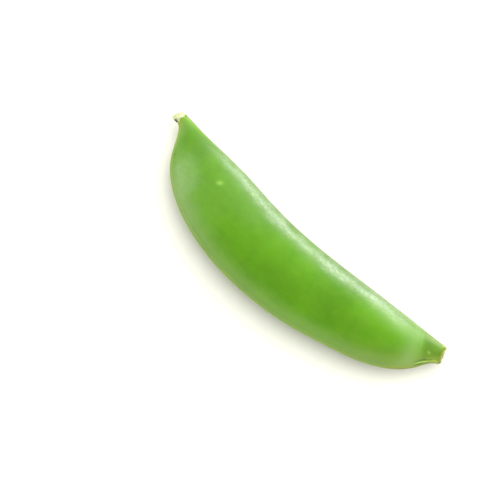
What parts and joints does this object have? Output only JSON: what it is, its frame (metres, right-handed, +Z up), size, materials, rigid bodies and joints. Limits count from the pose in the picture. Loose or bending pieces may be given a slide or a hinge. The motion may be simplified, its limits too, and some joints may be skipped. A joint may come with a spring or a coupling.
{
  "type": "pea pod",
  "caption": "Fresh green pea pod picked with its short neck, plump and gently curved, lying on one side.",
  "frame": {"origin": "on the surface that the pod lies on, under the middle of its bounding box", "axes": "+X runs to the stem end, +Y to the concave, seed-bearing edge, +Z up through both valves"},
  "size_m": [0.0786, 0.0208, 0.0103],
  "materials": {
    "pod_skin": "fresh green plant skin with a thin waxy bloom, satin gloss"
  },
  "bodies": {
    "root": {"pod": "pod_skin"}
  },
  "joints": []
}
